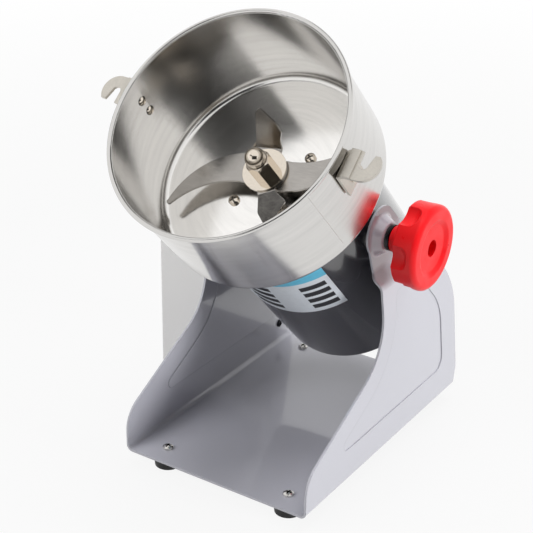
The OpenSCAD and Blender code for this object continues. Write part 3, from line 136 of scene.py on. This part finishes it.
class Finish:
    """A material made of nodes round one Principled shader."""

    def __init__(self, name, colour, edge=PLAIN_EDGE, **sockets):
        self.material = bpy.data.materials.new(name)
        self.material.use_nodes = True
        self.material.diffuse_color = colour
        self.colour = colour
        self.tree = self.material.node_tree
        self.shader = self.tree.nodes["Principled BSDF"]
        self.shader.inputs["Base Color"].default_value = colour
        for key, value in sockets.items():
            self.shader.inputs[key.replace("_", " ")].default_value = value
        self.normal = self.add("ShaderNodeBevel", {"Radius": edge}, samples=4).outputs[0]
        self.link(self.normal, "Normal")

    def add(self, kind, inputs=None, **fields):
        return add_node(self.tree, kind, inputs, **fields)

    def link(self, socket, key):
        self.tree.links.new(socket, self.shader.inputs[key])

    def math(self, operation, a, b=0.0):
        return math_node(self.tree, operation, a, b)

    def span(self, value, low, high, over=WIDE):
        return span_node(self.tree, value, low, high, over)

    def vector_math(self, operation, *vectors):
        node = self.add("ShaderNodeVectorMath", dict(enumerate(vectors)), operation=operation)
        return node.outputs[0]

    def weighted(self, a, b, share):
        """The mean of two values, of which the first has the given share."""
        rest = self.math("MULTIPLY", b, 1 - share)
        return self.math("ADD", self.math("MULTIPLY", a, share), rest)

    def place(self, stretch=None):
        """Object coordinates, which are the part's frame in metres at rest."""
        coord = self.add("ShaderNodeTexCoord").outputs["Object"]
        if stretch is None:
            return coord
        return self.add("ShaderNodeMapping", {"Vector": coord, "Scale": stretch}).outputs[0]

    def head_place(self):
        """Coordinates of the head: Z along the bowl's axis, zero at the pivot."""
        back = HEAD.inverted()
        return self.add("ShaderNodeMapping", {
            "Vector": self.place(),
            "Location": back.translation,
            "Rotation": back.to_euler("XYZ"),
        }).outputs[0]

    def split(self, vector):
        """X, Y and Z of a vector, and the square of its distance from the Z axis."""
        x, y, z = self.add("ShaderNodeSeparateXYZ", {0: vector}).outputs
        return x, y, z, self.math("ADD", self.math("MULTIPLY", x, x), self.math("MULTIPLY", y, y))

    def round_place(self, vector, round_scale, fine_scale):
        """Coordinates that change slowly round the Z axis and quickly across it, for spun metal."""
        x, y, z, square = self.split(vector)
        radius = self.math("SQRT", square)
        divisor = self.math("MAXIMUM", radius, 1 * MM)
        return self.add("ShaderNodeCombineXYZ", {
            0: self.math("MULTIPLY", self.math("DIVIDE", x, divisor), round_scale),
            1: self.math("MULTIPLY", self.math("DIVIDE", y, divisor), round_scale),
            2: self.math("MULTIPLY", self.math("ADD", z, radius), fine_scale),
        }).outputs[0]

    def noise(self, vector, scale, detail=3.0, roughness=0.55):
        return self.add("ShaderNodeTexNoise", {
            "Vector": vector, "Scale": scale, "Detail": detail, "Roughness": roughness,
        }).outputs[0]

    def vary_colour(self, value, low, high, over=WIDE):
        """Base colour between two tints of the finish's colour."""
        ramp = self.add("ShaderNodeValToRGB", {0: self.span(value, 0, 1, over)})
        for element, factor in zip(ramp.color_ramp.elements, (low, high)):
            element.color = tinted(self.colour, factor)
        self.link(ramp.outputs[0], "Base Color")
        return ramp.outputs[0]

    def mix_colour(self, factor, colour, other, blend_type="MIX"):
        """Base colour that passes from one colour to another, or to their product."""
        mix = self.add("ShaderNodeMix", {MIX_FACTOR: factor, MIX_A: colour, MIX_B: other},
                       data_type="RGBA", blend_type=blend_type)
        self.link(mix.outputs[MIX_OUT], "Base Color")

    def painted_recess_shade(self, colour):
        """Paints shade into the base colour of slots and corners, darker the more closed in they
        are.
        """
        openness = self.add("ShaderNodeAmbientOcclusion", {"Distance": RECESS_SHADE_REACH},
                            samples=8, only_local=True).outputs["AO"]
        self.mix_colour(self.span(openness, 1.0, 0.0, RECESS_SHADE_OPENNESS), colour, RECESS_SHADE)

    def wall_dullness_and_painted_shade(self, colour, vector, inner, outer, tone):
        """Multiplies the colour by a tone that sets in between two radii about the Z axis: partly a
        duller metal, partly painted shade.
        """
        square = self.split(vector)[-1]
        share = self.span(square, 0.0, 1.0, (inner * inner, outer * outer))
        self.mix_colour(share, colour, (tone, tone, tone, 1), "MULTIPLY")

    def vary_roughness(self, value, low, high):
        self.link(self.span(value, low, high), "Roughness")

    def lines_round_axis(self):
        """Stretches the gloss across lines that run round the bowl's axis."""
        arm = self.vector_math("SUBTRACT", self.place(), HEAD.translation)
        along = self.vector_math("CROSS_PRODUCT", tuple(AXIS), arm)
        turned = self.add("ShaderNodeVectorTransform", {0: along}, vector_type="VECTOR",
                          convert_from="OBJECT", convert_to="WORLD").outputs[0]
        self.link(self.vector_math("NORMALIZE", turned), "Tangent")

    def bump(self, value, depth):
        """Height in metres for a value from 0 to 1."""
        self.normal = self.add("ShaderNodeBump", {
            "Height": value, "Distance": depth, "Normal": self.normal,
        }).outputs[0]
        self.link(self.normal, "Normal")


# Finishes: the scales of their noises are in waves per metre


def paint(name, colour, roughness, peel, peel_depth, speck, coat=0.0):
    """Sprayed or powder coat: orange peel, faint specks and slightly uneven gloss."""
    f = Finish(name, colour, PAINT_EDGE, Roughness=roughness, Coat_Weight=coat, Coat_Roughness=0.05)
    here = f.place()
    f.vary_colour(f.noise(here, scale=2600, detail=1), 1 - speck, 1 + speck, NARROW)
    f.vary_roughness(f.noise(here, scale=40), roughness * 0.92, roughness * 1.08)
    f.bump(f.noise(here, scale=peel, detail=2), peel_depth)
    return f


def spun_steel(name, colour, roughness, line_depth, wall_tone_and_shade):
    """Stainless sheet polished while it turns: fine lines round the bowl's axis, faint smears
    and a wall darker than the floor, partly duller metal and partly painted shade."""
    f = Finish(name, colour, SHEET_EDGE, Metallic=1.0, Roughness=roughness,
               Anisotropic=0.6, Anisotropic_Rotation=0.25)
    here = f.head_place()
    lines = f.noise(f.round_place(here, round_scale=1.6, fine_scale=2600), scale=1.0, roughness=0.6)
    broad = f.noise(f.round_place(here, round_scale=1.1, fine_scale=160), scale=1.0, detail=2)
    smear = f.noise(here, scale=22)
    tone = f.vary_colour(f.weighted(lines, broad, 0.5), 0.94, 1.05, MEDIUM)
    # The wall and the floor's edge get a darker tone: partly duller metal, partly painted shade
    f.wall_dullness_and_painted_shade(tone, here, BOWL_OUT_R - 7 * MM, BOWL_OUT_R - 2 * MM, wall_tone_and_shade)
    f.vary_roughness(f.weighted(lines, smear, 0.5), roughness * 0.85, roughness * 1.15)
    f.bump(lines, line_depth)
    f.lines_round_axis()
    return f


def ground_steel(name, colour, roughness, stretch, line_depth):
    """Plate with straight grinding lines and uneven tone."""
    f = Finish(name, colour, Metallic=1.0, Roughness=roughness)
    lines = f.noise(f.place(stretch), scale=1.0, roughness=0.6)
    cloud = f.noise(f.place(), scale=60)
    f.vary_colour(f.weighted(lines, cloud, 0.5), 0.92, 1.08, NARROW)
    f.vary_roughness(f.weighted(lines, cloud, 0.6), roughness * 0.75, roughness * 1.25)
    f.bump(lines, line_depth)
    return f


def turned_steel(name, colour, roughness):
    """Bright fastener: tiny tool marks and handling smears."""
    f = Finish(name, colour, FASTENER_EDGE, Metallic=1.0, Roughness=roughness)
    here = f.place()
    marks = f.noise(here, scale=1400, detail=2)
    smear = f.noise(here, scale=130)
    # Shade painted into the fastener's slots and corners
    f.painted_recess_shade(f.vary_colour(smear, 0.9, 1.08, MEDIUM))
    f.vary_roughness(f.weighted(marks, smear, 0.4), roughness * 0.7, roughness * 1.4)
    f.bump(marks, 4 * UM)
    return f


def nut_steel(name, colour, roughness):
    """Polished nickel plate with fine polishing marks."""
    f = Finish(name, colour, FASTENER_EDGE, Metallic=1.0, Roughness=roughness)
    here = f.place()
    # Shade painted into the nut's slots and corners
    f.painted_recess_shade(f.vary_colour(f.noise(here, scale=700, detail=2), 0.96, 1.03))
    f.vary_roughness(f.noise(here, scale=500, detail=2), roughness * 0.7, roughness * 1.3)
    f.bump(f.noise(here, scale=900, detail=2), 3 * UM)
    return f


def moulded(name, colour, roughness, grain, grain_depth, low=0.93, high=1.05, **sockets):
    """Moulded plastic or rubber: soft colour clouds, fine grain and uneven gloss."""
    f = Finish(name, colour, Roughness=roughness, **sockets)
    here = f.place()
    f.vary_colour(f.noise(here, scale=30), low, high)
    f.vary_roughness(f.noise(here, scale=70), roughness * 0.8, roughness * 1.25)
    f.bump(f.noise(here, scale=grain, detail=2), grain_depth)
    return f


def label_paper(name, colour, roughness):
    """Coated paper with a faint grain."""
    f = Finish(name, colour, Roughness=roughness, Coat_Weight=0.3, Coat_Roughness=0.15)
    here = f.place()
    f.vary_colour(f.noise(here, scale=240), 0.96, 1.03)
    f.vary_roughness(f.noise(here, scale=120, detail=2), roughness * 0.85, roughness * 1.2)
    f.bump(f.noise(here, scale=1700, detail=2), 4 * UM)
    return f


def weld_bead(name, colour):
    """Seam left by welding: uneven tone and a rough skin."""
    f = Finish(name, colour, Metallic=1.0, Roughness=0.3)
    here = f.place()
    f.vary_colour(f.noise(here, scale=400), 0.86, 1.1)
    f.vary_roughness(f.noise(here, scale=900, detail=2), 0.26, 0.42)
    f.bump(f.noise(here, scale=1500, detail=2), 10 * UM)
    return f


finishes = {
    "stand_paint": paint("grey_gloss_paint", srgb(188, 188, 197), roughness=0.2,
                         peel=420, peel_depth=6 * UM, speck=0.012, coat=0.9),
    "box_paint": paint("grey_texture_paint", srgb(234, 233, 232), roughness=0.5,
                       peel=1500, peel_depth=40 * UM, speck=0.02),
    "motor_paint": paint("charcoal_paint", srgb(47, 46, 51), roughness=0.22,
                         peel=380, peel_depth=6 * UM, speck=0.05, coat=1.0),
    "bowl_steel": spun_steel("satin_stainless", srgb(248, 246, 243), roughness=0.17,
                             line_depth=1.2 * UM, wall_tone_and_shade=0.72),
    "hook_steel": ground_steel("blasted_stainless", srgb(206, 201, 192), roughness=0.38,
                               stretch=(500, 900, 900), line_depth=6 * UM),
    "blade_steel": ground_steel("ground_stainless", srgb(174, 170, 165), roughness=0.2,
                                stretch=(120, 1900, 1900), line_depth=3 * UM),
    "polished_steel": nut_steel("polished_nickel", srgb(226, 216, 202), roughness=0.1),
    "zinc_steel": turned_steel("zinc_plate", srgb(214, 212, 208), roughness=0.24),
    "black_steel": turned_steel("black_oxide", srgb(46, 46, 48), roughness=0.34),
    "black_rubber": moulded("black_rubber", srgb(18, 18, 19), roughness=0.62,
                            grain=1600, grain_depth=20 * UM),
    "black_plastic": moulded("black_plastic", srgb(30, 30, 32), roughness=0.36,
                             grain=1300, grain_depth=12 * UM),
    "pale_plastic": moulded("pale_plastic", srgb(214, 212, 204), roughness=0.4,
                            grain=1300, grain_depth=10 * UM),
    "red_plastic": moulded("red_plastic", srgb(232, 20, 27), roughness=0.34,
                           grain=700, grain_depth=4 * UM, low=0.98, high=1.02,
                           Specular_IOR_Level=0.3),
    "alloy": ground_steel("cast_alloy", srgb(176, 177, 180), roughness=0.45,
                          stretch=(700, 700, 700), line_depth=20 * UM),
    "core_iron": ground_steel("sheet_iron", srgb(112, 110, 108), roughness=0.42,
                              stretch=(60, 60, 2400), line_depth=10 * UM),
    "copper": ground_steel("enamelled_copper", srgb(186, 104, 58), roughness=0.3,
                           stretch=(300, 1600, 1600), line_depth=30 * UM),
    "brass": turned_steel("brass", srgb(206, 172, 96), roughness=0.26),
    "carbon": moulded("carbon", srgb(38, 37, 37), roughness=0.5, grain=1500, grain_depth=20 * UM),
}

for node in nodes.values():
    for place in node.material_slots:
        key = place.material.name.split(".")[0]
        place.material = finishes[key].material
# The clamp washer takes the black oxide finish: its dark colour is painted shade in the gap between
# the ear and the knob
nodes["clamp_washer"].material_slots[0].material = finishes["black_steel"].material


# New pieces: thin sheets that lie on the motor and the bowl

# Largest turn between two cross sections of a sheet, in degrees
PATCH_STEP = 2.5


def new_object(name, mesh, material):
    obj = bpy.data.objects.new(name, mesh)
    scene.collection.objects.link(obj)
    obj.data.materials.append(material)
    return obj


def can_patch(bm, radius, lift, angles, heights):
    """A thin sheet on a can about the bowl's axis: angles in degrees, the rest in metres."""
    start, end = angles
    low, high = heights
    section = ((radius, low), (radius + lift, low), (radius + lift, high), (radius, high))
    steps = max(2, int(abs(end - start) / PATCH_STEP))
    loops = []
    for i in range(steps + 1):
        a = math.radians(start + (end - start) * i / steps)
        loops.append([bm.verts.new(HEAD @ Vector((r * math.cos(a), r * math.sin(a), z)))
                      for r, z in section])
    for one, two in zip(loops, loops[1:]):
        for k in range(4):
            bm.faces.new((one[k], one[(k + 1) % 4], two[(k + 1) % 4], two[k]))
    bm.faces.new(loops[0][::-1])
    bm.faces.new(loops[-1])


def patch_piece(name, finish, patches):
    bm = bmesh.new()
    for patch in patches:
        can_patch(bm, *patch)
    bmesh.ops.recalc_face_normals(bm, faces=bm.faces)
    mesh = bpy.data.meshes.new(name)
    bm.to_mesh(mesh)
    bm.free()
    obj = new_object(name, mesh, finish.material)
    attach(obj, "head")


def band(top, bottom):
    """Heights of a band's lower and upper edge, from millimetres below the rim."""
    return RIM_Z - bottom / 1000, RIM_Z - top / 1000


# Generic rating label on the motor: a pale sheet with a blue head and bare dark fields

# Angles in degrees round the axis, tops and heights in millimetres down from the rim
LABEL_ANGLES = (-41.5, -125)
LABEL_TOP = 131
LABEL_BOTTOM = 205
HEADER_BOTTOM = 149
FIELD_ANGLES = ((-45, -63), (-84, -105))
FIELD_ROWS = 4
FIELD_TOP = 156.5
FIELD_PITCH = 11.6
FIELD_H = 7.2
# Inner radius and thickness of the sheet, and of the print on it
SHEET_R = MOTOR_R + 0.01 * MM
SHEET_T = 0.12 * MM
PRINT_R = MOTOR_R + 0.12 * MM
PRINT_T = 0.06 * MM

patch_piece("label_sheet", label_paper("label_sheet", srgb(226, 232, 238), roughness=0.35), [
    (SHEET_R, SHEET_T, LABEL_ANGLES, band(LABEL_TOP, LABEL_BOTTOM)),
])
patch_piece("label_header", label_paper("label_blue", srgb(98, 190, 222), roughness=0.35), [
    (PRINT_R, PRINT_T, LABEL_ANGLES, band(LABEL_TOP, HEADER_BOTTOM)),
])
field_tops = [FIELD_TOP + FIELD_PITCH * row for row in range(FIELD_ROWS)]
patch_piece("label_fields", label_paper("label_black", srgb(24, 24, 28), roughness=0.4), [
    (PRINT_R, PRINT_T, angles, band(top, top + FIELD_H))
    for top in field_tops for angles in FIELD_ANGLES
])

# Weld line down the bowl's outer wall, in the same units

WELD_ANGLE = -24
WELD_HALF = 0.12
WELD_TOP = 5
WELD_BOTTOM = 88
WELD_R = BOWL_OUT_R - 0.02 * MM
WELD_T = 0.05 * MM

patch_piece("bowl_weld", weld_bead("weld_line", srgb(208, 204, 199)), [
    (WELD_R, WELD_T, (WELD_ANGLE - WELD_HALF, WELD_ANGLE + WELD_HALF), band(WELD_TOP, WELD_BOTTOM)),
])


# Stage: floor, world, dark cards and lamps

CENTRE = Vector((0, 0, 0.2))
SQUARE = ((-1, -1), (1, -1), (1, 1), (-1, 1))
FLOOR_HALF = 6.0
FLOOR_GREY = (0.45, 0.45, 0.45, 1)
# Share of white on the floor near the object and far from it, and where it changes
FLOOR_WHITE = (0.9, 1.0)
FLOOR_FADE = (0.6, 1.6)
WORLD_LIGHT = 0.15
CARD_BLACK = (0.02, 0.02, 0.02, 1)
CARD_ROUGHNESS = 0.9


def seen_rays(tree):
    """One for rays that show the background: from the camera, and through gloss and glass."""
    path = add_node(tree, "ShaderNodeLightPath").outputs
    total = path["Is Camera Ray"]
    for kind in ("Is Glossy Ray", "Is Transmission Ray"):
        total = math_node(tree, "MAXIMUM", total, path[kind])
    return total


def stage_face(name, corners, material):
    mesh = bpy.data.meshes.new(name)
    mesh.from_pydata(corners, [], [range(len(corners))])
    obj = new_object(name, mesh, material)
    return obj


def stage_floor():
    """A matte floor that keeps the shadow, under a share of white that grows with distance."""
    material = bpy.data.materials.new("floor")
    material.use_nodes = True
    tree = material.node_tree
    tree.nodes.clear()
    coord = add_node(tree, "ShaderNodeTexCoord").outputs["Object"]
    away = add_node(tree, "ShaderNodeVectorMath", {0: coord}, operation="LENGTH").outputs["Value"]
    white = span_node(tree, away, *FLOOR_WHITE, FLOOR_FADE)
    share = math_node(tree, "MULTIPLY", seen_rays(tree), white)
    matte = add_node(tree, "ShaderNodeBsdfDiffuse", {"Color": FLOOR_GREY}).outputs[0]
    glow = add_node(tree, "ShaderNodeEmission", {"Color": WHITE, "Strength": 1.0}).outputs[0]
    mixed = add_node(tree, "ShaderNodeMixShader", {0: share, 1: matte, 2: glow}).outputs[0]
    add_node(tree, "ShaderNodeOutputMaterial", {0: mixed})
    stage_face("floor", [(x * FLOOR_HALF, y * FLOOR_HALF, 0) for x, y in SQUARE], material)


def stage_world():
    """White where it is seen or reflected, and a weak even light elsewhere."""
    world = bpy.data.worlds.new("studio")
    scene.world = world
    world.use_nodes = True
    tree = world.node_tree
    tree.nodes.clear()
    soft, white = (
        add_node(tree, "ShaderNodeBackground", {"Color": WHITE, "Strength": strength}).outputs[0]
        for strength in (WORLD_LIGHT, 1.0)
    )
    seen = seen_rays(tree)
    mixed = add_node(tree, "ShaderNodeMixShader", {0: seen, 1: soft, 2: white}).outputs[0]
    add_node(tree, "ShaderNodeOutputWorld", {0: mixed})


def dark_card(name, direction, distance, width, height):
    """A studio flag that only reflections see."""
    away = Vector(direction).normalized()
    turn = away.to_track_quat("Z", "Y").to_matrix()
    corners = [CENTRE + distance * away + turn @ Vector((x * width / 2, y * height / 2, 0))
               for x, y in SQUARE]
    material = bpy.data.materials.new(name)
    material.use_nodes = True
    shader = material.node_tree.nodes["Principled BSDF"]
    shader.inputs["Base Color"].default_value = CARD_BLACK
    shader.inputs["Roughness"].default_value = CARD_ROUGHNESS
    obj = stage_face(name, corners, material)
    for ray in ("camera", "diffuse", "transmission", "volume_scatter", "shadow"):
        setattr(obj, "visible_" + ray, False)


def lamp(name, location, target, width, height, power):
    """A soft lamp that neither the camera nor reflections see."""
    data = bpy.data.lights.new(name, "AREA")
    data.shape = "RECTANGLE"
    data.size, data.size_y = width, height
    data.energy = power
    obj = bpy.data.objects.new(name, data)
    scene.collection.objects.link(obj)
    obj.location = location
    obj.visible_glossy = False
    obj.visible_camera = False
    obj.rotation_euler = (Vector(target) - Vector(location)).to_track_quat("-Z", "Y").to_euler()


stage_floor()
stage_world()
dark_card("flag_front", (0.397, -0.815, 0.423), distance=1.8, width=1.7, height=1.15)
dark_card("flag_high", (-0.29, -0.73, 0.616), distance=1.8, width=0.8, height=0.32)
dark_card("flag_back", (0.1, 0.55, 0.83), distance=1.7, width=1.5, height=0.6)
dark_card("flag_right", (0.98, 0.1, -0.02), distance=1.6, width=0.45, height=0.9)
dark_card("flag_left", (-0.95, 0.3, -0.02), distance=1.6, width=0.45, height=0.9)
lamp("top", (0.1, 0.15, 2.0), CENTRE, width=1.6, height=1.4, power=38)
lamp("side", (2.1, 0.22, 0.5), (0.1, 0, 0.25), width=0.5, height=0.5, power=32)
lamp("fill", (-0.9, -1.6, 1.4), CENTRE, width=1.4, height=1.4, power=26)


# Camera at the photo's viewing angle, by yaw, pitch and roll

YAW, PITCH, ROLL = (math.radians(degrees) for degrees in (33.14, 25.70, 0.84))
CAMERA_AT = (0.6170, -0.966818, 0.7269)
LENS_MM = 97.215
SENSOR_MM = 36

flat = Vector((-math.sin(YAW), math.cos(YAW), 0))
ahead = math.cos(PITCH) * flat - math.sin(PITCH) * Vector((0, 0, 1))
level = Vector((math.cos(YAW), math.sin(YAW), 0))
upward = level.cross(ahead)
right = math.cos(ROLL) * level + math.sin(ROLL) * upward
above = -math.sin(ROLL) * level + math.cos(ROLL) * upward
camera = bpy.data.objects.new("camera", bpy.data.cameras.new("camera"))
scene.collection.objects.link(camera)
camera.data.sensor_width = SENSOR_MM
camera.data.lens = LENS_MM
camera.matrix_world = axes_frame(right, above, -ahead, CAMERA_AT)
scene.camera = camera
